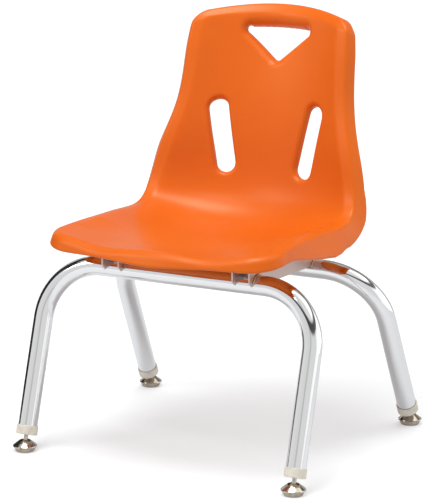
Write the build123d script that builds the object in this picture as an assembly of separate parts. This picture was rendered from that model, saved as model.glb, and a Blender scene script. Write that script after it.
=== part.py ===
from build123d import *
import math
import os

import numpy as np

# Stacking chair for small children: one moulded shell on two bent-tube legs, with swivel glides.
# Millimetres. +Z is up, the front of the chair faces -Y, the floor is z = 0 and the origin lies on
# the floor midway between the legs. The chair's own left side is +X.

os.makedirs("parts", exist_ok=True)

# ---------------------------------------------------------------- driving dimensions
TUBE_OD = 22.2                  # 7/8 inch leg tube
TUBE_WALL = 1.6
BEND_RADIUS = 65.0              # centreline radius of the tube's corners

# Each leg tube: (y, z) of the crossbar's centreline, half-width at the crossbar's sharp corner,
# and (x, y) of the glide under its left leg.
FRONT_BAR = (-87.4, 208.3)
FRONT_CORNER_X = 168.0
FRONT_FOOT = (168.6, -150.1)
REAR_BAR = (58.0, 196.9)
REAR_CORNER_X = 168.7
REAR_FOOT = (174.1, 150.1)

CHANNEL_X = 81.4                # middle of each channel
CHANNEL_WIDTH = 22.5
CHANNEL_WALL = 2.0
CHANNEL_TOP = 233.5
CHANNEL_FRONT = -105.0
CHANNEL_REAR = 75.6
CHANNEL_BEND = 4.0
CHANNEL_NOSE_Z = 214.0          # lower corner of the web in front of the front crossbar
CHANNEL_LOW_NOSE = 207.0        # where the nose's lower edge meets the front crossbar
CHANNEL_LOW_FRONT = 205.5       # lower edge of the web just behind the front crossbar
CHANNEL_LOW_REAR = 201.2        # and just before the rear one
WELD_RADIUS = 1.8
WELD_START = 20.0               # degrees round the crossbar, from level at its rear side
WELD_SWEEP = 140.0

SCREW_Y = (-58.0, 26.0)
SCREW_RADIUS = 2.1
SCREW_REACH = 7.0               # depth of the hole in the boss
SCREW_HEAD_RADIUS = 3.8
SCREW_HEAD_HEIGHT = 2.6
SCREW_TIP_GAP = 1.0             # free depth beyond the screw's tip
SCREW_SEAT_OVERLAP = 0.2        # length of the shank that is sunk in the head
HEAD_ROUND = 1.2
RECESS_SPAN = 4.2               # cross recess in the head: width, slot and depth
RECESS_SLOT = 1.0
RECESS_DEPTH = 1.2
BOSS_RADIUS = 6.0
BOSS_SINK = 1.5                 # how far a boss reaches into the pan above it

SHELL_THICKNESS = 4.0

# Stations along the shell, from the front edge up to the top edge: (y, z) on the middle line,
# (y, z) where the edge starts to roll over, and the half-width there.
STATIONS = [
    ((-152, 250), (-139, 255.5), 133.5),
    ((-100, 243), (-90, 256.5), 133.5),
    ((-25, 236), (-22, 255.5), 133),
    ((45, 231), (25, 255), 132.5),
    ((85, 240), (52, 257.5), 132),
    ((105, 262), (68, 267), 130.5),
    ((113, 285), (77, 284), 127),
    ((119, 325), (85, 322), 117.5),
    ((128, 375), (100.5, 373), 104),
    ((142, 428), (112, 428), 98),
    ((157, 481), (123, 470), 94.5),
]
FRONT_CORNER_RADIUS = 24.0
TOP_CORNER_RADIUS = 14.0
FRONT_ROLL = 11.0               # outside radius of the front edge's roll
SIDE_ROLL = 5.0                 # outside radius of the roll along the sides and the top
FRONT_ROLL_REACH = 40.0         # distance from the front over which one turns into the other
# Flange below the roll: (distance along the shell, straight depth) and (distance, outward lean).
FLANGE_DEPTH = [(0, 7.5), (20, 6), (50, 11), (80, 17.5), (110, 22), (150, 26), (180, 24.5),
                (210, 21), (240, 19), (270, 17), (300, 10.5), (340, 10), (400, 9), (450, 9.5), (495, 8)]
FLANGE_LEAN = [(0, 14), (200, 14), (260, 3), (400, 3), (480, -4)]

# The grid of points that shapes the shell starts from a small ring inside the hand hold.
HUB_ALONG = 458.0
HUB_RADIUS = 8.0
GRID_ROWS = 26
EDGE_STEP = 1.6                 # spacing of the rows next to the edge

# Openings in the back, as (across, distance along the shell).
HANDLE_POINTS = [(38.4, 471.8), (38.4, 464.5), (0, 429.5)]
HANDLE_CORNER_RADII = (4.0, 5.0, 5.0)
SLOT_TOP = (61.4, 372.4)
SLOT_BOTTOM = (49.5, 307.2)
SLOT_WIDTH = 20.9
HANDLE_MIDDLE = 452.0
CUTTER_REACH = 30.0             # how far a cutter stands out on each side of the shell

# Leg cap, measured along the leg from the centre of the glide's ball.
CAP_START = 11.0                # the cap's flat bottom
CAP_FLOOR = 2.5
CAP_LENGTH = 10.6
CAP_RADIUS = 12.15
PLUG_LENGTH = 14.0

# Glide.
BALL_Z = 7.6                    # height of the ball's centre above the floor
BALL_RADIUS = 5.2
NECK_RADIUS = 2.4
STEM_IN_CAP = 14.0
SEAT_RADIUS = 6.35              # outside of the nylon ball seat
SEAT_OPEN = 2.2                 # the seat's open top, above the ball's centre
RUNNING_GAP = 0.05
BASE_RADIUS = 10.6
BASE_FLARE = (11.7, 3.4)        # (radius, height) at the top of the base's open flank
GLIDE_RADIUS = 13.85            # widest, at the dome's rim
DOME_MOUTH = 6.6
DOME_TOP = 12.1


# ---------------------------------------------------------------- the shell's surface
def natural_spline(stations, values):
    """A smooth curve through values (one row per station), straight at its two ends."""
    t = np.asarray(stations, float)
    y = np.asarray(values, float)
    h = np.diff(t)
    count = len(t)
    matrix = np.eye(count)
    right = np.zeros_like(y)
    for i in range(1, count - 1):
        matrix[i, i - 1:i + 2] = h[i - 1], 2 * (h[i - 1] + h[i]), h[i]
        right[i] = 6 * ((y[i + 1] - y[i]) / h[i] - (y[i] - y[i - 1]) / h[i - 1])
    bend = np.linalg.solve(matrix, right)

    def curve(at):
        at = np.asarray(at, float)
        i = np.clip(np.searchsorted(t, at) - 1, 0, count - 2)
        step = h[i]
        after = (at - t[i]) / step
        before = 1 - after
        if y.ndim > 1:
            step, after, before = step[..., None], after[..., None], before[..., None]
        sag = ((before**3 - before) * bend[i] + (after**3 - after) * bend[i + 1]) * step**2 / 6
        return before * y[i] + after * y[i + 1] + sag

    return curve


MIDDLE = np.array([station[0] for station in STATIONS], float)
EDGE = np.array([station[1] for station in STATIONS], float)
WIDTH = np.array([station[2] for station in STATIONS], float)


def station_distances():
    """Distance of each station along the middle line, measured on the smooth curve."""
    chords = np.hypot(*np.diff(MIDDLE, axis=0).T)
    rough = np.concatenate([[0], np.cumsum(chords)])
    dense = np.linspace(0, rough[-1], 4000)
    line = natural_spline(rough, MIDDLE)(dense)
    steps = np.hypot(*np.diff(line, axis=0).T)
    along = np.concatenate([[0], np.cumsum(steps)])
    return np.interp(rough, dense, along)


DISTANCES = station_distances()
LENGTH = DISTANCES[-1]
middle_line = natural_spline(DISTANCES, MIDDLE)
edge_line = natural_spline(DISTANCES, EDGE)
half_width = natural_spline(DISTANCES, WIDTH)


def surface(across, along):
    """Point on the sitter's side of the shell: the section is a shallow parabola."""
    rise = (np.abs(across) / half_width(along)) ** 2
    middle = middle_line(along)
    yz = middle + (edge_line(along) - middle) * rise[..., None]
    return np.concatenate([across[..., None], yz], axis=-1)


def unit(vectors):
    return vectors / np.linalg.norm(vectors, axis=-1, keepdims=True)


def slopes(across, along):
    """How the surface point moves per millimetre across and along."""
    step = 0.5
    per_across = (surface(across + step, along) - surface(across - step, along)) / (2 * step)
    per_along = (surface(across, along + step) - surface(across, along - step)) / (2 * step)
    return per_across, per_along


def surface_normal(across, along):
    """Unit normal on the sitter's side."""
    per_across, per_along = slopes(across, along)
    return unit(np.cross(per_across, per_along))


def outline_half():
    """Left half of the outline as (across, along), from front middle to top middle."""
    front = FRONT_CORNER_RADIUS
    top = TOP_CORNER_RADIUS
    front_x = float(half_width(front)) - front
    top_x = float(half_width(LENGTH)) - top
    points = [(x, 0.0) for x in np.linspace(0, front_x, 9)[:-1]]
    for turn in np.linspace(0, math.pi / 2, 9)[:-1]:
        along = front - front * math.cos(turn)
        points.append((float(half_width(along)) - front + front * math.sin(turn), along))
    for along in np.linspace(front, LENGTH - top, 44)[:-1]:
        points.append((float(half_width(along)), along))
    for turn in np.linspace(0, math.pi / 2, 8)[:-1]:
        along = LENGTH - top + top * math.sin(turn)
        points.append((float(half_width(along)) - top + top * math.cos(turn), along))
    points += [(x, LENGTH) for x in np.linspace(top_x, 0, 9)]
    return np.array(points)


def ramp(table, at):
    """Piecewise straight value from (distance, value) pairs."""
    return np.interp(at, [row[0] for row in table], [row[1] for row in table])


def shell_rows(depth):
    """Grid of points at a depth under the sitter's surface: rows run from a small loop inside the
    hand hold, out over the shell, round the rolled edge and down the flange."""
    outline = outline_half()
    across, along = outline.T
    angle = np.arctan2(across, HUB_ALONG - along)
    start = np.stack([HUB_RADIUS * np.sin(angle), HUB_ALONG - HUB_RADIUS * np.cos(angle)], axis=1)
    reach = np.linalg.norm(outline - start, axis=1)
    rows = []
    for k in range(GRID_ROWS):
        left = GRID_ROWS - k
        curve = (reach - EDGE_STEP * GRID_ROWS) / GRID_ROWS**2
        fraction = 1 - (EDGE_STEP * left + curve * left**2) / reach
        spot = start + (outline - start) * fraction[:, None]
        rows.append(surface(*spot.T) - depth * surface_normal(*spot.T))

    per_across, per_along = slopes(across, along)
    normal = unit(np.cross(per_across, per_along))
    travel = np.gradient(outline, axis=0)
    ahead = unit(per_across * travel[:, :1] + per_along * travel[:, 1:])
    outward = np.cross(ahead, normal)
    roll = FRONT_ROLL + (SIDE_ROLL - FRONT_ROLL) * np.clip(along / FRONT_ROLL_REACH, 0, 1)
    roll = roll[:, None]
    lean = np.radians(ramp(FLANGE_LEAN, along))[:, None]
    end_turn = math.pi / 2 - lean
    base = surface(across, along) - roll * normal
    for turn in [end_turn * step / 7 for step in range(8)]:
        facing = np.cos(turn) * normal + np.sin(turn) * outward
        rows.append(base + (roll - depth) * facing)
    down = np.cos(end_turn) * outward - np.sin(end_turn) * normal
    flange = ramp(FLANGE_DEPTH, along)[:, None]
    last = rows[-1]
    for step in range(1, 5):
        rows.append(last + down * flange * step / 4)
    for row in rows:
        row[0, 0] = 0.0
        row[-1, 0] = 0.0
    return rows


def grid_face(rows):
    """A smooth face through a grid of points."""
    points = [[tuple(point) for point in row] for row in rows]
    return Face.make_surface_from_array_of_points(points, tol=0.1, min_deg=3, max_deg=3)


def border_edges(face, rows):
    """A grid face's edges in a fixed order: first row, last row, first column, last column."""
    markers = [
        rows[0][len(rows[0]) // 2],
        rows[-1][len(rows[-1]) // 2],
        rows[len(rows) // 2][0],
        rows[len(rows) // 2][-1],
    ]
    return [min(face.edges(), key=lambda edge: edge.distance_to(Vector(*m))) for m in markers]


def blank_shell():
    """The moulding without its openings: both halves' faces sewn into one closed solid."""
    outer_rows = shell_rows(0.0)
    inner_rows = shell_rows(SHELL_THICKNESS)
    outer = grid_face(outer_rows)
    inner = grid_face(inner_rows)
    half = [outer, inner]
    outer_edges = border_edges(outer, outer_rows)
    inner_edges = border_edges(inner, inner_rows)
    for k in (0, 1):
        half.append(Face.make_surface_from_curves(outer_edges[k], inner_edges[k]))
    return Solid(Shell(half + [mirror(face, about=Plane.YZ) for face in half]))


def back_plane(across, along):
    """Plane touching the shell at one place: its x runs across, its z towards the sitter."""
    spot = np.array([across], float), np.array([along], float)
    normal = surface_normal(*spot)[0]
    return Plane(origin=tuple(surface(*spot)[0]), x_dir=(1, 0, 0), z_dir=tuple(normal))


def handle_cutter():
    """Prism of the triangular hand hold, with rounded corners."""
    right = [(x, along - HANDLE_MIDDLE) for x, along in HANDLE_POINTS]
    left = [(-x, along) for x, along in reversed(right[:-1])]
    outline = make_face(Polyline(*right, *left, close=True))
    for point, radius in zip(right, HANDLE_CORNER_RADII):
        spots = [Vector(side * point[0], point[1]) for side in (1, -1)]
        corner = [v for v in outline.vertices() if min((Vector(v) - spot).length for spot in spots) < 0.01]
        outline = fillet(corner, radius)
    return back_plane(0, HANDLE_MIDDLE) * extrude(outline, amount=CUTTER_REACH, both=True)


def slot_cutter(side):
    """Prism of one slanted slot; side is +1 on the chair's left and -1 on its right."""
    rise = SLOT_TOP[1] - SLOT_BOTTOM[1]
    run = SLOT_TOP[0] - SLOT_BOTTOM[0]
    plane = back_plane(side * (SLOT_TOP[0] + SLOT_BOTTOM[0]) / 2, (SLOT_TOP[1] + SLOT_BOTTOM[1]) / 2)
    slant = math.degrees(math.atan2(side * run, rise))
    slot = SlotCenterToCenter(math.hypot(rise, run), SLOT_WIDTH, rotation=90 - slant)
    return plane * extrude(slot, amount=CUTTER_REACH, both=True)


def screw_spots():
    """Places of the four screws, seen from above."""
    return [(side * CHANNEL_X, y) for side in (1, -1) for y in SCREW_Y]


def shell_underside(x, y):
    """Height of the pan's underside above one place, found along the shell."""
    along = np.linspace(0, LENGTH / 2, 600)
    across = np.full(len(along), float(x))
    points = surface(across, along) - SHELL_THICKNESS * surface_normal(across, along)
    return float(np.interp(y, points[:, 1], points[:, 2]))


def seat_shell():
    """Moulded shell with its openings and the four screw bosses under the pan."""
    shell = blank_shell() - handle_cutter()
    for side in (1, -1):
        shell -= slot_cutter(side)
    for x, y in screw_spots():
        top = shell_underside(x, y) + BOSS_SINK
        height = top - CHANNEL_TOP
        shell += Pos(x, y, CHANNEL_TOP) * extrude(Circle(BOSS_RADIUS), amount=height)
        shell -= Pos(x, y, CHANNEL_TOP) * extrude(Circle(SCREW_RADIUS), amount=SCREW_REACH)
    return shell


# ---------------------------------------------------------------- frame
def ball_centre(foot, side):
    return Vector(side * foot[0], foot[1], BALL_Z)


def leg_plane(bar, corner_x, foot, side):
    """Plane at the glide's ball whose z runs up the leg."""
    ball = ball_centre(foot, side)
    corner = Vector(side * corner_x, bar[0], bar[1])
    return Plane(origin=ball, x_dir=(1, 0, 0), z_dir=corner - ball)


def leg_tube(bar, corner_x, foot):
    """One bent tube: leg, crossbar, leg, ending inside the two leg caps."""
    ends = [leg_plane(bar, corner_x, foot, side) * Pos(0, 0, CAP_START + CAP_FLOOR) for side in (1, -1)]
    start, finish = [end.position for end in ends]
    corners = [(side * corner_x, bar[0], bar[1]) for side in (1, -1)]
    path = FilletPolyline(start, *corners, finish, radius=BEND_RADIUS)
    ring = Circle(TUBE_OD / 2) - Circle(TUBE_OD / 2 - TUBE_WALL)
    profile = Plane(origin=path @ 0, z_dir=path % 0) * ring
    return sweep(profile, path=path)


def crossbar_cylinder(bar, radius):
    """A straight cylinder round a crossbar's centreline."""
    span = 2 * (CHANNEL_X + CHANNEL_WIDTH)
    return Pos(0, bar[0], bar[1]) * Rot(0, 90, 0) * Cylinder(radius, span)


def side_channel(side):
    """Pressed channel, open below, whose two webs are notched to sit over both crossbars."""
    tube = TUBE_OD / 2
    inset = 1.0     # the nose's edge ends inside the crossbar's notch
    beyond = 5.0    # the hollow's cutter passes both ends and the open side
    outline = [
        (CHANNEL_FRONT, CHANNEL_TOP),
        (CHANNEL_FRONT, CHANNEL_NOSE_Z),
        (FRONT_BAR[0] - tube + inset, CHANNEL_LOW_NOSE),
        (FRONT_BAR[0] + tube, CHANNEL_LOW_FRONT),
        (REAR_BAR[0] - tube, CHANNEL_LOW_REAR),
        (CHANNEL_REAR, CHANNEL_LOW_REAR),
        (CHANNEL_REAR, CHANNEL_TOP),
    ]
    face = make_face(Plane.YZ * Polyline(*outline, close=True))
    block = extrude(face, amount=CHANNEL_WIDTH / 2, both=True)
    top_edges = block.edges().filter_by(Axis.Y).sort_by(Axis.Z)[-2:]
    block = fillet(top_edges, CHANNEL_BEND)
    inside = CHANNEL_WIDTH - 2 * CHANNEL_WALL
    length = CHANNEL_REAR - CHANNEL_FRONT + 2 * beyond
    middle_y = (CHANNEL_REAR + CHANNEL_FRONT) / 2
    depth = CHANNEL_TOP - CHANNEL_WALL - CHANNEL_LOW_REAR + beyond
    hollow = Pos(0, middle_y, CHANNEL_TOP - CHANNEL_WALL - depth / 2) * Box(inside, length, depth)
    inner_edges = hollow.edges().filter_by(Axis.Y).sort_by(Axis.Z)[-2:]
    channel = block - fillet(inner_edges, CHANNEL_BEND - CHANNEL_WALL)
    channel = Pos(side * CHANNEL_X, 0, 0) * channel
    for bar in (FRONT_BAR, REAR_BAR):
        channel -= crossbar_cylinder(bar, TUBE_OD / 2)
    for x, y in screw_spots():
        channel -= Pos(x, y, CHANNEL_TOP) * Cylinder(SCREW_RADIUS, 4 * CHANNEL_WALL)
    return channel


def channel_welds(channels):
    """Weld beads where each channel's two webs meet the two crossbars."""
    beads = []
    for side in (1, -1):
        for web in (1, -1):
            x = side * CHANNEL_X + web * CHANNEL_WIDTH / 2
            for bar in (FRONT_BAR, REAR_BAR):
                centre = Plane(origin=(x, bar[0], bar[1]), x_dir=(0, 1, 0), z_dir=(1, 0, 0))
                arc = centre * CenterArc((0, 0), TUBE_OD / 2, WELD_START, WELD_SWEEP)
                bead = sweep(Plane(origin=arc @ 0, z_dir=arc % 0) * Circle(WELD_RADIUS), path=arc)
                bead -= crossbar_cylinder(bar, TUBE_OD / 2)
                for channel in channels:
                    bead -= channel
                beads.append(max(bead.solids(), key=lambda solid: solid.volume))
    return beads


def seat_screw(x, y):
    """Pan-head screw from inside the channel up into the shell's boss."""
    seat = CHANNEL_TOP - CHANNEL_WALL
    length = SCREW_SEAT_OVERLAP + CHANNEL_WALL + SCREW_REACH - SCREW_TIP_GAP
    shank = Pos(0, 0, -SCREW_SEAT_OVERLAP) * extrude(Circle(SCREW_RADIUS), amount=length)
    head = Pos(0, 0, -SCREW_HEAD_HEIGHT) * extrude(Circle(SCREW_HEAD_RADIUS), amount=SCREW_HEAD_HEIGHT)
    head = fillet(head.edges().sort_by(Axis.Z)[:1], HEAD_ROUND)
    bar = Box(RECESS_SPAN, RECESS_SLOT, 2 * RECESS_DEPTH)
    recess = Pos(0, 0, -SCREW_HEAD_HEIGHT) * (bar + Rot(0, 0, 90) * bar)
    return Pos(x, y, seat) * (head + shank - recess)


# ---------------------------------------------------------------- glides
def turned(points):
    """Solid of revolution about z from a closed (radius, height) outline."""
    face = make_face(Plane.XZ * Polyline(*points, close=True))
    return revolve(face, axis=Axis.Z)


def leg_cap():
    """Nylon ferrule, cupped over the tube's end, with a plug inside the tube and a stem bore."""
    bottom = CAP_START
    floor = bottom + CAP_FLOOR
    rim = bottom + CAP_LENGTH
    tube = TUBE_OD / 2
    plug = tube - TUBE_WALL
    lip = 0.5
    return turned([
        (NECK_RADIUS, bottom),
        (CAP_RADIUS - 0.8, bottom),
        (CAP_RADIUS, bottom + 0.8),
        (CAP_RADIUS, rim - 0.4),
        (CAP_RADIUS - 0.3, rim),
        (tube + lip, rim),
        (tube, rim - 1.2),
        (tube, floor),
        (plug, floor),
        (plug, floor + PLUG_LENGTH - 1),
        (plug - 1, floor + PLUG_LENGTH),
        (NECK_RADIUS, floor + PLUG_LENGTH),
    ])


def glide_stem():
    """Steel pin with a ball end; the pin is pressed into the leg cap."""
    ball = Sphere(BALL_RADIUS)
    pin = extrude(Circle(NECK_RADIUS), amount=CAP_START + STEM_IN_CAP)
    return ball + fillet(pin.edges().sort_by(Axis.Z)[-1:], 0.8)


def ball_seat():
    """Nylon liner round the ball, open at the top for the neck."""
    hollow = Sphere(SEAT_RADIUS) - Sphere(BALL_RADIUS + RUNNING_GAP)
    block = 3 * SEAT_RADIUS
    return hollow - Pos(0, 0, SEAT_OPEN + block / 2) * Box(block, block, block)


# Outline shared by the base's flank and the inside of the dome, from the crimp up to the shoulder.
DOME_INSIDE = [(11.6, 4.5), (12.6, 5.5), (12.9, 6.1), (12.5, 6.7), (11.2, 7.6), (8.6, 9.6)]
DOME_OUTSIDE = [(9.3, 10.2), (12.0, 8.1), (13.5, 6.9), (GLIDE_RADIUS, 6.2), (13.4, 5.3), (12.3, 3.9)]


def glide_base():
    """Hard base that holds the ball seat and stands on the floor."""
    top = BALL_Z + SEAT_OPEN
    foot = [(0, 0), (BASE_RADIUS - 0.5, 0), (BASE_RADIUS, 0.5), BASE_FLARE]
    body = turned(foot + DOME_INSIDE + [(0, top)])
    return body - Pos(0, 0, BALL_Z) * Sphere(SEAT_RADIUS + RUNNING_GAP)


def glide_shell():
    """Plated dome pressed over the base, its lower edge crimped under the rim."""
    wall = 0.9
    mouth = [(DOME_MOUTH, DOME_TOP - wall), (DOME_MOUTH, DOME_TOP)]
    return turned(DOME_INSIDE + mouth + DOME_OUTSIDE)


# ---------------------------------------------------------------- writing the sub-parts
def save(name, *shapes):
    """One STEP file per sub-part; several shapes become one group of separate solids."""
    solids = [solid for shape in shapes for solid in shape.solids()]
    group = solids[0] if len(solids) == 1 else Compound(children=solids)
    group.label = name
    export_step(group, f"parts/{name}.step")


def save_leg(name, bar, corner_x, foot, side):
    """The leg cap and the four pieces of the glide under one leg."""
    leg = leg_plane(bar, corner_x, foot, side)
    ball = Pos(*ball_centre(foot, side))
    floor = Pos(side * foot[0], foot[1], 0)
    save(f"{name}_leg_cap", leg * leg_cap())
    save(f"{name}_glide_stem", leg * glide_stem())
    save(f"{name}_ball_seat", ball * ball_seat())
    save(f"{name}_glide_base", floor * glide_base())
    save(f"{name}_glide_shell", floor * glide_shell())


save("seat_shell", seat_shell())
save("front_leg_tube", leg_tube(FRONT_BAR, FRONT_CORNER_X, FRONT_FOOT))
save("rear_leg_tube", leg_tube(REAR_BAR, REAR_CORNER_X, REAR_FOOT))
left_channel = side_channel(1)
right_channel = side_channel(-1)
save("left_seat_channel", left_channel)
save("right_seat_channel", right_channel)
save("channel_welds", *channel_welds([left_channel, right_channel]))
save("seat_screws", *[seat_screw(x, y) for x, y in screw_spots()])
for side, side_name in ((1, "left"), (-1, "right")):
    save_leg(f"front_{side_name}", FRONT_BAR, FRONT_CORNER_X, FRONT_FOOT, side)
    save_leg(f"rear_{side_name}", REAR_BAR, REAR_CORNER_X, REAR_FOOT, side)
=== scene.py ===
import math

import bmesh
import bpy
import numpy as np
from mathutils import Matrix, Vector, geometry


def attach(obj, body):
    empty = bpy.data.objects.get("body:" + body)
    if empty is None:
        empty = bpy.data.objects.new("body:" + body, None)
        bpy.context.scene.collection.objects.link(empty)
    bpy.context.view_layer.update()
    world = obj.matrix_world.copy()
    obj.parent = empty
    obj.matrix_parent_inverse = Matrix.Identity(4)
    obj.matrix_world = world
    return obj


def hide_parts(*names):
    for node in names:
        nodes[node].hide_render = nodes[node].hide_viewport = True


# Looks of the stacking chair: an orange moulded shell on chromed tube legs with swivel glides.
# The shell is built in millimetres and turned into metres when its mesh is made.

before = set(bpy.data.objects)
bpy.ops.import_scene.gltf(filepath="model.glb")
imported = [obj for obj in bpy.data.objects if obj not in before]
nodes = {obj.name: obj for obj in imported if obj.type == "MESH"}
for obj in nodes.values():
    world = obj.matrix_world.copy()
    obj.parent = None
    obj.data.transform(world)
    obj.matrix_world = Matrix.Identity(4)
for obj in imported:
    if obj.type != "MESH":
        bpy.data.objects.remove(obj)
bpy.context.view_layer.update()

MM = 0.001

# ---------------------------------------------------------------- camera
CAMERA_AZIMUTH = 27.88          # degrees round the chair from straight in front
CAMERA_ELEVATION = 12.69
CAMERA_DISTANCE = 2.7252
CAMERA_TARGET = (0.0, -0.0181, 0.2237)
CAMERA_LENS = 174.3             # on a 36 mm sensor along the picture's long side


def direction(azimuth, elevation):
    """Unit vector from the chair towards a place; azimuth 0 is straight in front."""
    a, e = math.radians(azimuth), math.radians(elevation)
    return Vector((math.sin(a) * math.cos(e), -math.cos(a) * math.cos(e), math.sin(e)))


def make_camera():
    """The camera, looking at the chair from the picture's side."""
    back = direction(CAMERA_AZIMUTH, CAMERA_ELEVATION)
    data = bpy.data.cameras.new("camera")
    data.sensor_width = 36.0
    data.lens = CAMERA_LENS
    data.clip_end = 50.0
    camera = bpy.data.objects.new("camera", data)
    camera.location = Vector(CAMERA_TARGET) + back * CAMERA_DISTANCE
    camera.rotation_mode = "QUATERNION"
    camera.rotation_quaternion = (-back).to_track_quat("-Z", "Y")
    bpy.context.scene.collection.objects.link(camera)
    bpy.context.scene.camera = camera


# ---------------------------------------------------------------- the shell's surface
SHELL_THICKNESS = 4.0
# Stations along the shell, from the front edge up to the top edge: (y, z) on the middle line,
# (y, z) where the edge starts to roll over, and the half-width there.
STATIONS = [
    ((-152, 250), (-139, 255.5), 133.5),
    ((-100, 243), (-90, 256.5), 133.5),
    ((-25, 236), (-22, 255.5), 133),
    ((45, 231), (25, 255), 132.5),
    ((85, 240), (52, 257.5), 132),
    ((105, 262), (68, 267), 130.5),
    ((113, 285), (77, 284), 127),
    ((119, 325), (85, 322), 117.5),
    ((128, 375), (100.5, 373), 104),
    ((142, 428), (112, 428), 98),
    ((157, 481), (123, 470), 94.5),
]
FRONT_CORNER_RADIUS = 24.0
TOP_CORNER_RADIUS = 14.0
FRONT_ROLL = 11.0
SIDE_ROLL = 5.0
FLANGE_DEPTH = [(0, 7.5), (20, 6), (50, 11), (80, 17.5), (110, 22), (150, 26), (180, 24.5),
                (210, 21), (240, 19), (270, 17), (300, 10.5), (340, 10), (400, 9), (450, 9.5), (495, 8)]
FLANGE_LEAN = [(0, 14), (200, 14), (260, 3), (400, 3), (480, -4)]

HANDLE_POINTS = [(38.4, 471.8), (38.4, 464.5), (0, 429.5)]
HANDLE_CORNER_RADII = (4.0, 5.0, 5.0)
HANDLE_LIP = (10.0, 3.0)        # roll radius round the hand hold, and how much more above it
SLOT_TOP = (61.4, 372.4)
SLOT_BOTTOM = (49.5, 307.2)
SLOT_WIDTH = 20.9
SLOT_LIP = (5.4, 2.0)
LIP_LEAN = 8.0                  # degrees that an opening's wall leans, so that it draws from the mould
LIP_WALL = 3.0
EDGE_BULGE = 1.6                # how far the rounded rims stand out beyond their walls
LIP_BULGE = 1.2

CREASE_WIDTH = 8.5              # the strip inside the edge that tips over
CREASE_TIP = 25.0
CREASE_SOFTNESS = 1.0
# (distance along, height) by which the margin turns up before the crease.
MARGIN_RISE = [(45, 0), (90, 4.2), (150, 4.2), (220, 1.8), (495, 1.8)]
MARGIN_WIDTH = 40.0
CREASE_START = 45.0             # distance from the front where the crease begins
THIGH_SLOPE = 0.095             # extra fall of the front edge under each thigh
THIGH_REACH = 45.0              # how far back it begins
THIGH_SOFTNESS = 3.2
THIGH_APART = 66.0
THIGH_WIDTH = 34.0
LIP_HANG = (0.5, 16.0)          # the front flange hangs lower in the middle: by how much, how wide
LIP_LIFT = 7.0                  # and less under each thigh

BOSS_X = 81.4
BOSS_Y = (-58.0, 26.0)
BOSS_RADIUS = 6.0
BOSS_FOOT = 233.5
BOSS_BEVEL = 0.6
BOSS_FLARE = 2.4                # how far a boss widens where it meets the pan
BOSS_CENTRE = 0.1               # the smallest ring, closed by one face
BOSS_SIDES = 32
GRID_STEP = 3.2                 # spacing of the shell's mesh
EDGE_STEP = 2.6                 # and along its edges
OPENING_STEP = 1.6              # and along the openings' edges
GRID_REACH = 140.0              # half the width that the mesh's net covers before it is cut
ROW_SPACING = 0.866             # of the grid step, for a net of even triangles
CLEAR_OF_EDGE = 0.72            # of the grid step, kept free beside the edges' own points
EDGE_RINGS = (2.4, 5.0, 7.4, 9.2)     # extra points inside the edge, where the crease bends
LIP_RINGS = (1.8, 4.0, 6.8)     # and round the openings' lips
CURVE_POINTS = 4000             # for measuring along the middle line
BOSS_CURVE_POINTS = 400         # for finding the pan above a boss
FRONT_CORNER_POINTS = 24        # points on the outline, before it is evenly spaced
SIDE_POINTS = 200
TOP_CORNER_POINTS = 16
OPENING_CORNER_POINTS = 10
SLOT_END_POINTS = 30
MERGE_WITHIN = 1e-6
ROLL_STEPS = 9                  # mesh rows round a rolled edge, down its wall and over its rim
WALL_STEPS = 4
RIM_STEPS = 5


def natural_spline(stations, values):
    """A smooth curve through values (one row per station), straight at its two ends."""
    t = np.asarray(stations, float)
    y = np.asarray(values, float)
    h = np.diff(t)
    count = len(t)
    matrix = np.eye(count)
    right = np.zeros_like(y)
    for i in range(1, count - 1):
        matrix[i, i - 1:i + 2] = h[i - 1], 2 * (h[i - 1] + h[i]), h[i]
        right[i] = 6 * ((y[i + 1] - y[i]) / h[i] - (y[i] - y[i - 1]) / h[i - 1])
    bend = np.linalg.solve(matrix, right)

    def curve(at):
        at = np.asarray(at, float)
        i = np.clip(np.searchsorted(t, at) - 1, 0, count - 2)
        step = h[i]
        after = (at - t[i]) / step
        before = 1 - after
        if y.ndim > 1:
            step, after, before = step[..., None], after[..., None], before[..., None]
        sag = ((before**3 - before) * bend[i] + (after**3 - after) * bend[i + 1]) * step**2 / 6
        return before * y[i] + after * y[i + 1] + sag

    return curve


MIDDLE = np.array([station[0] for station in STATIONS], float)
EDGE = np.array([station[1] for station in STATIONS], float)
WIDTH = np.array([station[2] for station in STATIONS], float)


def station_distances():
    """Distance of each station along the middle line, measured on the smooth curve."""
    chords = np.hypot(*np.diff(MIDDLE, axis=0).T)
    rough = np.concatenate([[0], np.cumsum(chords)])
    dense = np.linspace(0, rough[-1], CURVE_POINTS)
    line = natural_spline(rough, MIDDLE)(dense)
    steps = np.hypot(*np.diff(line, axis=0).T)
    along = np.concatenate([[0], np.cumsum(steps)])
    return np.interp(rough, dense, along)


DISTANCES = station_distances()
LENGTH = DISTANCES[-1]
middle_line = natural_spline(DISTANCES, MIDDLE)
edge_line = natural_spline(DISTANCES, EDGE)
half_width = natural_spline(DISTANCES, WIDTH)


def surface(across, along):
    """Point on the sitter's side of the shell."""
    rise = (np.abs(across) / half_width(along)) ** 2
    middle = middle_line(along)
    yz = middle + (edge_line(along) - middle) * rise[..., None]
    return np.concatenate([across[..., None], yz], axis=-1)


def soft_slope(reach, softness):
    """Rises in proportion to reach where it is positive and fades to nothing where it is negative."""
    return (reach + np.hypot(reach, softness)) / 2


def thigh_share(across):
    """1 in the middle of each thigh's place on the front edge, 0 between and outside them."""
    return np.exp(-((np.abs(across) - THIGH_APART) / THIGH_WIDTH) ** 2)


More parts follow.
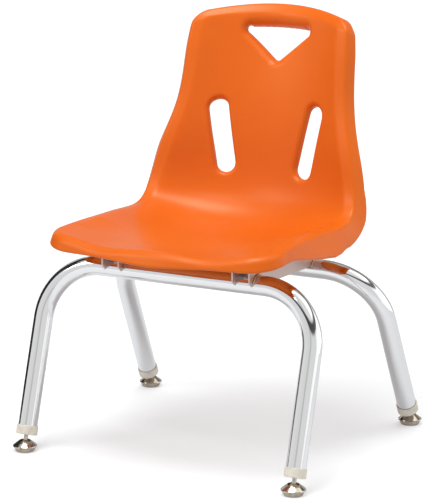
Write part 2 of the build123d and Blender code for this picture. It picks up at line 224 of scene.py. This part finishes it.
def relief(across, along, from_edge):
    """How far the sitter's side stands above the plain surface, with its edge crease and thigh dips."""
    tip = np.tan(np.radians(edge_tip(along))) * soft_slope(CREASE_WIDTH - from_edge, CREASE_SOFTNESS)
    dip = THIGH_SLOPE * thigh_share(across) * soft_slope(THIGH_REACH - along, THIGH_SOFTNESS)
    margin = ramp(MARGIN_RISE, along) * np.exp(-(from_edge / MARGIN_WIDTH) ** 2)
    return margin - tip - dip


def edge_tip(along):
    """Degrees that the outermost strip tips over; none at the front, where the lip rolls instead."""
    return CREASE_TIP * np.clip((along - CREASE_START) / CREASE_START, 0, 1)


def unit(vectors):
    return vectors / np.linalg.norm(vectors, axis=-1, keepdims=True)


def slopes(across, along):
    """How the surface point moves per millimetre across and along."""
    step = 0.5
    per_across = (surface(across + step, along) - surface(across - step, along)) / (2 * step)
    per_along = (surface(across, along + step) - surface(across, along - step)) / (2 * step)
    return per_across, per_along


def surface_normal(across, along):
    per_across, per_along = slopes(across, along)
    return unit(np.cross(per_across, per_along))


def ramp(rows, at):
    """Piecewise straight value from (distance, value) pairs."""
    return np.interp(at, [row[0] for row in rows], [row[1] for row in rows])


# ---------------------------------------------------------------- flat outlines (across, along)
def resample(points, step):
    """The closed outline with evenly spaced points."""
    loop = np.vstack([points, points[:1]])
    lengths = np.hypot(*np.diff(loop, axis=0).T)
    along = np.concatenate([[0], np.cumsum(lengths)])
    count = max(12, int(round(along[-1] / step)))
    at = np.linspace(0, along[-1], count, endpoint=False)
    return np.stack([np.interp(at, along, loop[:, 0]), np.interp(at, along, loop[:, 1])], axis=1)


def arc_points(centre, radius, start, end, count):
    angles = np.radians(np.linspace(start, end, count))
    return [(centre[0] + radius * math.cos(a), centre[1] + radius * math.sin(a)) for a in angles]


def shell_outline():
    """The whole outline, counter-clockwise seen with the top edge up."""
    half = []
    front = FRONT_CORNER_RADIUS
    top = TOP_CORNER_RADIUS
    for turn in np.linspace(0, math.pi / 2, FRONT_CORNER_POINTS)[:-1]:
        along = front - front * math.cos(turn)
        half.append((float(half_width(along)) - front + front * math.sin(turn), along))
    for along in np.linspace(front, LENGTH - top, SIDE_POINTS)[:-1]:
        half.append((float(half_width(along)), along))
    for turn in np.linspace(0, math.pi / 2, TOP_CORNER_POINTS):
        along = LENGTH - top + top * math.sin(turn)
        half.append((float(half_width(along)) - top + top * math.cos(turn), along))
    mirrored = [(-x, along) for x, along in reversed(half)]
    return resample(np.array(half + mirrored), EDGE_STEP)


def rounded_polygon(corners, radii):
    """A convex counter-clockwise polygon with each corner rounded."""
    points = []
    count = len(corners)
    for i, (corner, radius) in enumerate(zip(corners, radii)):
        here = np.array(corner, float)
        before = np.array(corners[i - 1], float) - here
        after = np.array(corners[(i + 1) % count], float) - here
        before /= np.linalg.norm(before)
        after /= np.linalg.norm(after)
        half_angle = math.acos(np.clip(before @ after, -1, 1)) / 2
        centre = here + (before + after) / np.linalg.norm(before + after) * radius / math.sin(half_angle)
        first = here + before * radius / math.tan(half_angle) - centre
        last = here + after * radius / math.tan(half_angle) - centre
        start = math.degrees(math.atan2(first[1], first[0]))
        sweep = (math.degrees(math.atan2(last[1], last[0])) - start) % 360
        points += arc_points(centre, radius, start, start + sweep, OPENING_CORNER_POINTS)
    return np.array(points)


def handle_outline():
    """The triangular hand hold, mirrored from its right half."""
    right = HANDLE_POINTS
    corners = [right[2], right[1], right[0], (-right[0][0], right[0][1]), (-right[1][0], right[1][1])]
    radii = [HANDLE_CORNER_RADII[i] for i in (2, 1, 0, 0, 1)]
    return resample(rounded_polygon(corners, radii), OPENING_STEP)


def slot_outline(side):
    """One slanted slot with round ends; side is +1 or -1."""
    top = np.array(SLOT_TOP) * (side, 1)
    bottom = np.array(SLOT_BOTTOM) * (side, 1)
    slant = math.degrees(math.atan2(top[1] - bottom[1], top[0] - bottom[0]))
    radius = SLOT_WIDTH / 2
    points = arc_points(top, radius, slant - 90, slant + 90, SLOT_END_POINTS)
    points += arc_points(bottom, radius, slant + 90, slant + 270, SLOT_END_POINTS)
    return resample(np.array(points), OPENING_STEP)


def outward_of(loop):
    """Unit normal of each point of a counter-clockwise loop, pointing out of it."""
    travel = unit(np.roll(loop, -1, axis=0) - np.roll(loop, 1, axis=0))
    return np.stack([travel[:, 1], -travel[:, 0]], axis=1)


def inside(loop, points):
    """Whether each point lies inside the closed loop."""
    x, y = points[:, 0], points[:, 1]
    result = np.zeros(len(points), bool)
    for (x0, y0), (x1, y1) in zip(loop, np.roll(loop, -1, axis=0)):
        if y0 == y1:
            continue
        crosses = (y0 > y) != (y1 > y)
        result ^= crosses & (x < (x1 - x0) * (y - y0) / (y1 - y0) + x0)
    return result


# ---------------------------------------------------------------- the shell's mesh
def rolled_rows(loop, start, normal, aside, radius, turn, wall, depth):
    """Rows that roll away from the sitter along a loop of the surface, and end in a straight wall.

    start and normal are the loop's points and directions in space. aside is the flat direction, point
    by point, towards which the roll turns, and depth is how far under the sitter's side the rows lie."""
    per_across, per_along = slopes(*loop.T)
    sideways = per_across * aside[:, :1] + per_along * aside[:, 1:]
    sideways = unit(sideways - normal * np.sum(sideways * normal, axis=1, keepdims=True))
    radius = np.broadcast_to(np.asarray(radius, float), len(loop))[:, None]
    wall = np.broadcast_to(np.asarray(wall, float), len(loop))[:, None]
    end_turn = np.broadcast_to(np.radians(turn), len(loop))[:, None]
    base = start - radius * normal
    rows = []
    for angle in [end_turn * k / ROLL_STEPS for k in range(1, ROLL_STEPS + 1)]:
        rows.append(base + (radius - depth) * (np.cos(angle) * normal + np.sin(angle) * sideways))
    down = np.cos(end_turn) * sideways - np.sin(end_turn) * normal
    last = rows[-1]
    for k in range(1, WALL_STEPS + 1):
        rows.append(last + down * wall * k / WALL_STEPS)
    return rows, down


def rim_rows(outer, inner, down, bulge):
    """Rows of a rounded rim between the ends of the two sides."""
    middle = (outer + inner) / 2
    half = (outer - inner) / 2
    rows = []
    for k in range(1, RIM_STEPS + 1):
        turn = math.pi * k / (RIM_STEPS + 1)
        rows.append(middle + half * math.cos(turn) + down * bulge * math.sin(turn))
    return rows


class Skin:
    """Collects vertices and faces."""

    def __init__(self):
        self.points = []
        self.faces = []

    def add(self, points):
        start = len(self.points)
        self.points += [tuple(p) for p in points]
        return list(range(start, len(self.points)))

    def band(self, first, second, flip):
        count = len(first)
        for i in range(count):
            j = (i + 1) % count
            quad = (first[i], first[j], second[j], second[i])
            self.faces.append(quad[::-1] if flip else quad)


def shell_loops():
    """The flat loops: the outline, and each opening with its lip's width."""
    openings = []
    loops = [(handle_outline(), HANDLE_LIP)] + [(slot_outline(side), SLOT_LIP) for side in (1, -1)]
    for loop, (radius, extra) in loops:
        openings.append((loop, radius + extra * np.clip(outward_of(loop)[:, 1], 0, 1)))
    return shell_outline(), openings


def flat_mesh(outline, lip_loops):
    """Triangles between the outline and the lips' outer loops, as flat points and faces."""
    points = []
    edges = []

    def closed(loop):
        start = len(points)
        count = len(loop)
        points.extend(map(tuple, loop))
        edges.extend((start + i, start + (i + 1) % count) for i in range(count))

    closed(outline)
    for loop in lip_loops:
        closed(loop)
    rings = [outline - outward_of(outline) * d for d in EDGE_RINGS]
    for loop in lip_loops:
        rings += [loop + outward_of(loop) * d for d in LIP_RINGS]
    for ring in rings:
        points.extend(map(tuple, ring))

    columns = np.arange(-GRID_REACH, GRID_REACH + 0.1, GRID_STEP)
    lines = np.arange(0, LENGTH, GRID_STEP * ROW_SPACING)
    grid = np.array([(x + (k % 2) * GRID_STEP / 2, q) for k, q in enumerate(lines) for x in columns])
    keep = inside(outline, grid)
    for loop in lip_loops:
        keep &= ~inside(loop, grid)
    grid = grid[keep]
    fixed = np.array(points)
    near = np.array([np.min(np.hypot(*(fixed - p).T)) for p in grid])
    grid = grid[near > GRID_STEP * CLEAR_OF_EDGE]
    points.extend(map(tuple, grid))

    vectors = [Vector(p) for p in points]
    verts, _, faces, _, _, _ = geometry.delaunay_2d_cdt(vectors, edges, [], 0, MERGE_WITHIN)
    flat = np.array([tuple(v) for v in verts])
    centres = np.array([flat[list(f)].mean(axis=0) for f in faces])
    good = inside(outline, centres)
    for loop in lip_loops:
        good &= ~inside(loop, centres)
    triangles = []
    for face, ok in zip(faces, good):
        if not ok:
            continue
        a, b, c = (flat[i] for i in face)
        turn = (b[0] - a[0]) * (c[1] - a[1]) - (b[1] - a[1]) * (c[0] - a[0])
        triangles.append(tuple(face) if turn > 0 else tuple(reversed(face)))
    return flat, triangles


def loop_indices(flat, loop):
    """Which flat points are the loop's points."""
    return [int(np.argmin(np.hypot(*(flat - p).T))) for p in loop]


def distance_to(loop, points):
    """Distance of each point from the closed loop."""
    nearest = np.full(len(points), np.inf)
    for first, second in zip(loop, np.roll(loop, -1, axis=0)):
        run = second - first
        part = np.clip((points - first) @ run / (run @ run), 0, 1)[:, None]
        nearest = np.minimum(nearest, np.hypot(*(points - first - part * run).T))
    return nearest


def mesh_normals(points, triangles):
    """Direction of each point, averaged over the triangles that meet there."""
    a, b, c = (points[[t[k] for t in triangles]] for k in range(3))
    areas = np.cross(b - a, c - a)
    total = np.zeros_like(points)
    for k in range(3):
        np.add.at(total, [t[k] for t in triangles], areas)
    return unit(total)


def build_shell():
    """The whole moulding: two sides, rolled edge, rolled lips, rounded rims and bosses."""
    outline, openings = shell_loops()
    lip_loops = [loop + outward_of(loop) * lip[:, None] for loop, lip in openings]
    flat, triangles = flat_mesh(outline, lip_loops)
    skin = Skin()
    across, along = flat.T
    height = relief(across, along, distance_to(outline, flat))
    top = surface(across, along) + height[:, None] * surface_normal(across, along)
    normal = mesh_normals(top, triangles)
    front = skin.add(top)
    rear = skin.add(top - SHELL_THICKNESS * normal)
    for a, b, c in triangles:
        skin.faces.append((front[a], front[b], front[c]))
        skin.faces.append((rear[c], rear[b], rear[a]))

    along = outline[:, 1]
    roll = FRONT_ROLL + (SIDE_ROLL - FRONT_ROLL) * np.clip(along / CREASE_START, 0, 1)
    turn = 90 - ramp(FLANGE_LEAN, along) - edge_tip(along)
    at_front = np.clip(1 - along / FRONT_CORNER_RADIUS, 0, 1)
    hang = LIP_HANG[0] * np.exp(-(outline[:, 0] / LIP_HANG[1]) ** 2)
    flange = ramp(FLANGE_DEPTH, along) + at_front * (hang - LIP_LIFT * thigh_share(outline[:, 0]))
    borders = [(outline, outward_of(outline), roll, turn, flange, EDGE_BULGE, True)]
    for loop, (_, lip) in zip(lip_loops, openings):
        borders.append((loop, -outward_of(loop), lip, 90 - LIP_LEAN, LIP_WALL, LIP_BULGE, False))
    for loop, aside, radius, turn, wall, bulge, outer in borders:
        indices = loop_indices(flat, loop)
        sides = []
        for depth, start in ((0.0, front), (SHELL_THICKNESS, rear)):
            rows, down = rolled_rows(loop, top[indices], normal[indices], aside, radius, turn, wall, depth)
            belts = [[start[i] for i in indices]] + [skin.add(row) for row in rows]
            for first, second in zip(belts, belts[1:]):
                skin.band(first, second, flip=outer != (depth > 0))
            sides.append((belts[-1], rows[-1]))
        belts = [sides[0][0]]
        belts += [skin.add(row) for row in rim_rows(sides[0][1], sides[1][1], down, bulge)]
        belts.append(sides[1][0])
        for first, second in zip(belts, belts[1:]):
            skin.band(first, second, flip=outer)
    add_bosses(skin)
    return skin


def add_bosses(skin):
    """The four round feet under the pan that take the screws."""
    turns = np.linspace(0, 2 * math.pi, BOSS_SIDES, endpoint=False)
    ring = np.stack([np.cos(turns), np.sin(turns)], axis=1)
    along_line = np.linspace(0, LENGTH / 2, BOSS_CURVE_POINTS)
    for x in (-BOSS_X, BOSS_X):
        line = surface(np.full_like(along_line, x), along_line)
        for y in BOSS_Y:
            top = float(np.interp(y, line[:, 1], line[:, 2])) - SHELL_THICKNESS / 2
            profile = [
                (BOSS_CENTRE, BOSS_FOOT),
                (BOSS_RADIUS - BOSS_BEVEL, BOSS_FOOT),
                (BOSS_RADIUS, BOSS_FOOT + BOSS_BEVEL),
                (BOSS_RADIUS, top - 4),
                (BOSS_RADIUS + 0.7, top - 2.6),
                (BOSS_RADIUS + BOSS_FLARE, top - 1),
                (BOSS_CENTRE, top),
            ]
            belts = [skin.add([(x + r * c, y + r * e, z) for c, e in ring]) for r, z in profile]
            for first, second in zip(belts, belts[1:]):
                skin.band(first, second, flip=False)
            skin.faces.append(tuple(reversed(belts[0])))
            skin.faces.append(tuple(belts[-1]))


def mesh_object(name, points, faces):
    """A smooth object from points in millimetres, with its faces turned outwards."""
    mesh = bpy.data.meshes.new(name)
    mesh.from_pydata([tuple(c * MM for c in p) for p in points], [], faces)
    mesh.validate()
    bm = bmesh.new()
    bm.from_mesh(mesh)
    bmesh.ops.recalc_face_normals(bm, faces=bm.faces)
    bm.to_mesh(mesh)
    bm.free()
    mesh.shade_smooth()
    made = bpy.data.objects.new(name, mesh)
    bpy.context.scene.collection.objects.link(made)
    return made


# ---------------------------------------------------------------- materials
class Paint:
    """A principled material with short calls for the nodes it needs."""

    def __init__(self, name, colour, metallic, roughness):
        self.material = bpy.data.materials.new(name)
        self.material.use_nodes = True
        self.tree = self.material.node_tree
        self.shader = self.tree.nodes["Principled BSDF"]
        self.set("Base Color", (*colour, 1))
        self.set("Metallic", metallic)
        self.set("Roughness", roughness)

    def set(self, socket, value):
        self.shader.inputs[socket].default_value = value

    def add(self, kind, **settings):
        node = self.tree.nodes.new(kind)
        for name, value in settings.items():
            setattr(node, name, value)
        return node

    def link(self, output, socket):
        self.tree.links.new(output, socket)

    def place(self):
        """Where on the piece, in metres."""
        return self.add("ShaderNodeTexCoord").outputs["Object"]

    def stretched(self, scale):
        mapping = self.add("ShaderNodeMapping")
        mapping.inputs["Scale"].default_value = scale
        self.link(self.place(), mapping.inputs["Vector"])
        return mapping.outputs["Vector"]

    def noise(self, scale, detail, stretch=(1, 1, 1)):
        node = self.add("ShaderNodeTexNoise")
        node.inputs["Scale"].default_value = scale
        node.inputs["Detail"].default_value = detail
        self.link(self.stretched(stretch), node.inputs["Vector"])
        return node.outputs["Fac"]

    def ramp(self, value, low, high, out_low, out_high):
        node = self.add("ShaderNodeMapRange")
        node.interpolation_type = "SMOOTHSTEP"
        for socket, number in zip(("From Min", "From Max", "To Min", "To Max"),
                                  (low, high, out_low, out_high)):
            node.inputs[socket].default_value = number
        self.link(value, node.inputs["Value"])
        return node.outputs["Result"]

    def blend(self, amount, first, second):
        """Mix of two colours, by an amount from 0 to 1."""
        node = self.add("ShaderNodeMix", data_type="RGBA")
        self.link(amount, node.inputs["Factor"])
        for socket, colour in (("A", first), ("B", second)):
            target = [i for i in node.inputs if i.name == socket and i.type == "RGBA"][0]
            target.default_value = (*colour, 1)
        return [o for o in node.outputs if o.type == "RGBA"][0]

    def bump(self, height, distance, strength):
        node = self.add("ShaderNodeBump")
        node.inputs["Distance"].default_value = distance
        node.inputs["Strength"].default_value = strength
        self.link(height, node.inputs["Height"])
        return node.outputs["Normal"]

    def colour(self, output):
        self.link(output, self.shader.inputs["Base Color"])

    def roughness(self, output):
        self.link(output, self.shader.inputs["Roughness"])

    def normal(self, output):
        self.link(output, self.shader.inputs["Normal"])


SHELL_COLOUR = (0.665, 0.119, 0.007)
SHELL_COLOUR_DEEP = (0.645, 0.112, 0.006)
SHELL_ROUGHNESS = 0.33


def shell_plastic():
    """Satin moulded polypropylene: faint flow marks in the colour and faint waves in the surface."""
    paint = Paint("shell_plastic", SHELL_COLOUR, 0.0, SHELL_ROUGHNESS)
    flow = paint.noise(9.0, 1.0, stretch=(1, 1, 0.4))
    paint.colour(paint.blend(paint.ramp(flow, 0.35, 0.65, 0.0, 1.0), SHELL_COLOUR, SHELL_COLOUR_DEEP))
    waves = paint.bump(paint.noise(22.0, 1.0), 0.0004, 0.5)
    paint.normal(waves)
    paint.set("Specular IOR Level", 0.32)
    paint.set("Specular Tint", (1.0, 0.86, 0.6, 1.0))
    return paint.material


def chrome_plate(name, colour, metallic, roughness):
    """Bright plate over drawn steel: mirror-like, with faint waves and rubbing marks."""
    paint = Paint(name, colour, metallic, roughness)
    rub = paint.noise(60.0, 2.0, stretch=(1, 1, 0.25))
    paint.roughness(paint.ramp(rub, 0.4, 0.75, roughness, roughness + 0.09))
    waves = paint.bump(paint.noise(45.0, 2.0, stretch=(1, 1, 0.5)), 0.0003, 0.35)
    paint.normal(waves)
    return paint.material


def nylon(name, colour, shade):
    """Moulded nylon with a fine grain, dirtier in places."""
    paint = Paint(name, colour, 0.0, 0.45)
    paint.colour(paint.blend(paint.ramp(paint.noise(120.0, 4.0), 0.4, 0.7, 0.0, 1.0), colour, shade))
    paint.normal(paint.bump(paint.noise(1800.0, 2.0), 0.00004, 0.4))
    return paint.material


def turned_steel(name, colour, shade, roughness):
    """Plated turned steel with fine rings left by the tool."""
    paint = Paint(name, colour, 1.0, roughness)
    stain = paint.ramp(paint.noise(220.0, 4.0), 0.4, 0.75, 0.0, 1.0)
    paint.colour(paint.blend(stain, colour, shade))
    paint.normal(paint.bump(paint.noise(700.0, 2.0, stretch=(0.15, 0.15, 3.0)), 0.00002, 0.4))
    return paint.material


def dress(node, material):
    """Give a CAD node its material."""
    slots = nodes[node].data.materials
    slots.clear()
    slots.append(material)


# ---------------------------------------------------------------- stage and light
FLOOR_HALF = 1.6
FLOOR_COLOUR = (0.60, 0.62, 0.635)
GLOW_START = 0.5                # distance from the middle at which the floor's glow starts to grow
UNSEEN_GLOW = 0.3               # share of the floor's glow that reaches the chair
FLOOR_GLOW = (0.42, 0.68)       # near and far: a floor lit a little from below has pale shadows


def make_floor():
    """Pale floor whose glow grows outwards, and is brighter to the camera than to the chair."""
    bm = bmesh.new()
    bmesh.ops.create_grid(bm, x_segments=1, y_segments=1, size=FLOOR_HALF)
    mesh = bpy.data.meshes.new("floor")
    bm.to_mesh(mesh)
    bm.free()
    floor = bpy.data.objects.new("floor", mesh)
    bpy.context.scene.collection.objects.link(floor)
    paint = Paint("floor_paint", FLOOR_COLOUR, 0.0, 0.8)
    paint.set("Emission Color", (1, 1, 1, 1))
    distance = paint.add("ShaderNodeVectorMath", operation="LENGTH")
    paint.link(paint.place(), distance.inputs[0])
    glow = paint.ramp(distance.outputs["Value"], GLOW_START, FLOOR_HALF, *FLOOR_GLOW)
    seen = paint.ramp(paint.add("ShaderNodeLightPath").outputs["Is Camera Ray"], 0, 1, UNSEEN_GLOW, 1)
    product = paint.add("ShaderNodeMath", operation="MULTIPLY")
    paint.link(glow, product.inputs[0])
    paint.link(seen, product.inputs[1])
    paint.link(product.outputs[0], paint.shader.inputs["Emission Strength"])
    mesh.materials.append(paint.material)


FLAG_WIDTH = 0.34
FLAG_HEIGHT = 0.5
FLAG_X = -0.5
FLAG_Y = -0.08


def make_flag():
    """A narrow dark card beside the chair, seen only as the dark line along its chromed legs."""
    bm = bmesh.new()
    corners = [(0, -FLAG_WIDTH / 2, 0), (0, FLAG_WIDTH / 2, 0), (0, FLAG_WIDTH / 2, FLAG_HEIGHT),
               (0, -FLAG_WIDTH / 2, FLAG_HEIGHT)]
    bm.faces.new([bm.verts.new(corner) for corner in corners])
    mesh = bpy.data.meshes.new("flag")
    bm.to_mesh(mesh)
    bm.free()
    flag = bpy.data.objects.new("flag", mesh)
    flag.location = (FLAG_X, FLAG_Y, 0)
    flag.visible_camera = False
    flag.visible_diffuse = False
    flag.visible_shadow = False
    bpy.context.scene.collection.objects.link(flag)
    mesh.materials.append(Paint("flag_cloth", (0.01, 0.01, 0.01), 0.0, 0.9).material)


LIGHT_TARGET = Vector((0, 0, 0.25))


def soft_box(name, azimuth, elevation, distance, size, power):
    """A rectangular soft light that faces the chair."""
    data = bpy.data.lights.new(name, "AREA")
    data.shape = "RECTANGLE"
    data.size, data.size_y = size
    data.energy = power
    light = bpy.data.objects.new(name, data)
    light.location = LIGHT_TARGET + direction(azimuth, elevation) * distance
    light.rotation_mode = "QUATERNION"
    light.rotation_quaternion = (-direction(azimuth, elevation)).to_track_quat("-Z", "Y")
    bpy.context.scene.collection.objects.link(light)


# Brightness of the studio's walls round the chair: (azimuth in degrees, brightness), and from the
# horizon up: (sine of the elevation, brightness). The dark strips give the chrome its dark lines.
WALLS = [(-180, 0.6), (-128, 0.6), (-118, 1.1), (-112, 0.06), (-84, 0.06), (-78, 1.0), (-4, 0.9),
         (2, 0.68), (12, 0.68), (18, 0.95), (64, 0.95), (70, 0.82), (76, 1.3), (106, 1.5), (114, 1.8),
         (146, 1.8), (156, 0.65), (180, 0.6)]
HEIGHTS = [(0.0, 1.0), (0.48, 1.0), (0.54, 0.1), (0.66, 0.1), (0.72, 1.05), (1.0, 1.05)]
WORLD_STRENGTH = 0.84
SEEN_WORLD = 1.35               # the backdrop, where the camera sees it straight


def make_world():
    """The studio round the chair: walls of uneven brightness, and a bright backdrop for the camera."""
    world = bpy.data.worlds.new("studio")
    bpy.context.scene.world = world
    world.use_nodes = True
    tree = world.node_tree
    add = tree.nodes.new
    link = tree.links.new
    background = tree.nodes["Background"]
    split = add("ShaderNodeSeparateXYZ")
    link(add("ShaderNodeTexCoord").outputs["Generated"], split.inputs[0])

    def math_node(kind, first, second):
        node = add("ShaderNodeMath")
        node.operation = kind
        for socket, value in zip(node.inputs, (first, second)):
            if isinstance(value, (int, float)):
                socket.default_value = value
            else:
                link(value, socket)
        return node.outputs[0]

    def ramp_node(value, low, high, stops):
        scaled = math_node("DIVIDE", math_node("SUBTRACT", value, low), high - low)
        node = add("ShaderNodeValToRGB")
        elements = node.color_ramp.elements
        while len(elements) < len(stops):
            elements.new(0.5)
        for element, (at, shade) in zip(elements, stops):
            element.position = (at - low) / (high - low)
            element.color = (shade, shade, shade, 1)
        link(scaled, node.inputs[0])
        return node.outputs[0]

    backwards = math_node("MULTIPLY", split.outputs[1], -1.0)
    turn = math_node("ARCTAN2", split.outputs[0], backwards)
    degrees = math_node("MULTIPLY", turn, 180 / math.pi)
    around = ramp_node(degrees, -180, 180, WALLS)
    upward = ramp_node(split.outputs[2], 0, 1, HEIGHTS)
    shade = math_node("MULTIPLY", around, upward)
    seen = add("ShaderNodeLightPath").outputs["Is Camera Ray"]
    shade = math_node("MAXIMUM", shade, math_node("MULTIPLY", seen, SEEN_WORLD))
    link(shade, background.inputs["Color"])
    background.inputs["Strength"].default_value = WORLD_STRENGTH


bpy.context.scene.view_settings.view_transform = "Standard"
make_camera()
make_world()
make_floor()
make_flag()
soft_box("key_box", -42, 34, 2.4, (0.9, 0.7), 9.5)
soft_box("strip_box", -12, 52, 2.0, (0.9, 0.2), 5)
soft_box("top_box", -20, 80, 2.2, (1.0, 1.0), 33)

shell_skin = build_shell()
shell = mesh_object("moulded_shell", shell_skin.points, shell_skin.faces)
shell.data.materials.append(shell_plastic())
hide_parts("seat_shell")
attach(shell, "chair")

chrome = chrome_plate("chrome_plate", (0.83, 0.83, 0.835), 1.0, 0.05)
# The channels are a dull chrome plate. Their mauve-brown colour is a painted reflection of the orange
# shell and lifts the shade inside them.
dull_chrome_painted_reflection = chrome_plate("dull_chrome_painted_reflection", (0.60, 0.48, 0.44), 0.6, 0.38)
heat_tint = turned_steel("heat_tinted_weld", (0.55, 0.44, 0.24), (0.35, 0.24, 0.14), 0.25)
ivory = nylon("ivory_nylon", (0.70, 0.65, 0.56), (0.60, 0.54, 0.45))
nickel = turned_steel("nickel_plate", (0.62, 0.56, 0.48), (0.4, 0.32, 0.24), 0.16)
for name in nodes:
    if name.endswith("_leg_cap") or name.endswith("_ball_seat"):
        dress(name, ivory)
    elif "glide" in name:
        dress(name, nickel)
    elif name.endswith("_channel"):
        dress(name, dull_chrome_painted_reflection)
    elif name == "channel_welds":
        dress(name, heat_tint)
    elif name != "seat_shell":
        dress(name, chrome)
